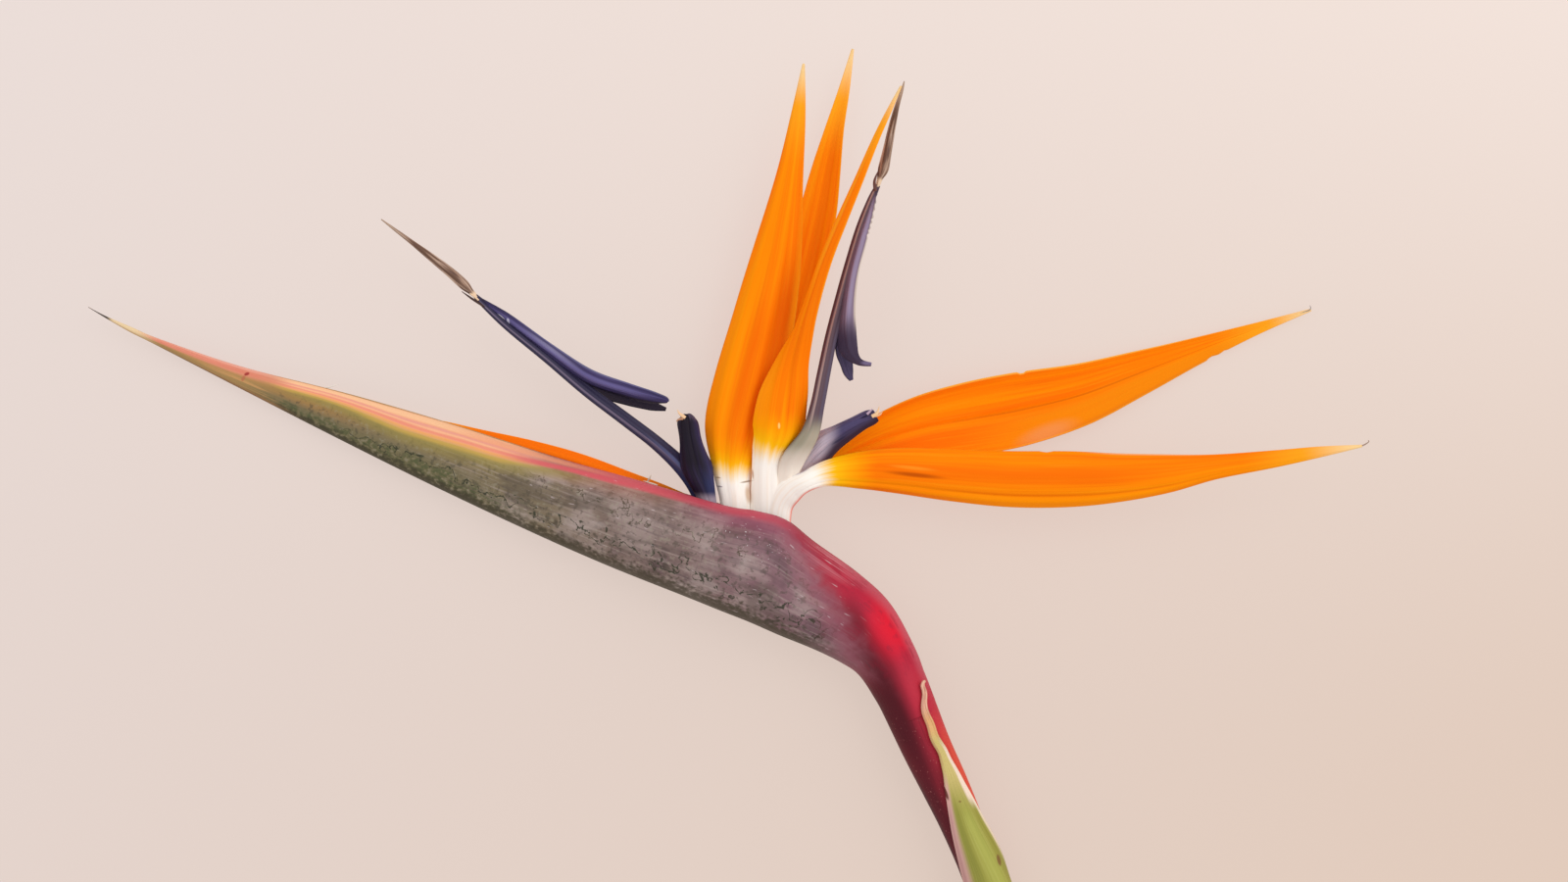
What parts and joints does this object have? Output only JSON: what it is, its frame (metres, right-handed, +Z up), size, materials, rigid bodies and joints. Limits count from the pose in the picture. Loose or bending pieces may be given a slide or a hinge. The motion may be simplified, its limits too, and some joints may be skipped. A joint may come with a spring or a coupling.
{
  "type": "bird of paradise flower",
  "caption": "Cut bird of paradise flower lying on its side: beak-shaped grey-mauve spathe on a wrapped red stalk, with upright orange sepals and blue arrow-shaped petals.",
  "frame": {"origin": "on the surface that the flower lies on, under the middle of the flower's box", "axes": "+X along the spathe from the tip of its beak towards its bend, +Y from the cut end of the stalk towards the tips of the upright sepals, +Z up from the surface"},
  "size_m": [0.2854, 0.2375, 0.0221],
  "materials": {
    "stalk": "satin",
    "sheath": "satin",
    "spathe": "satin",
    "neck": "satin",
    "sepal": "satin",
    "petal": "satin",
    "stigma": "matte"
  },
  "bodies": {
    "root": {"peduncle": "stalk", "sheath_bract": "sheath", "spathe": "spathe", "floret_1_neck": "neck", "floret_2_neck": "neck", "floret_1_sepal_front": "sepal", "floret_1_sepal_rear": "sepal", "floret_1_sepal_in_slit": "sepal", "floret_2_sepal_upright": "sepal", "floret_2_sepal_rear": "sepal", "floret_2_sepal_front": "sepal", "floret_1_arrow_petal": "petal", "floret_2_arrow_petal": "petal", "floret_1_nectary_petal": "petal", "floret_2_nectary_petal": "petal", "floret_1_stigma": "stigma", "floret_2_stigma": "stigma"}
  },
  "joints": []
}
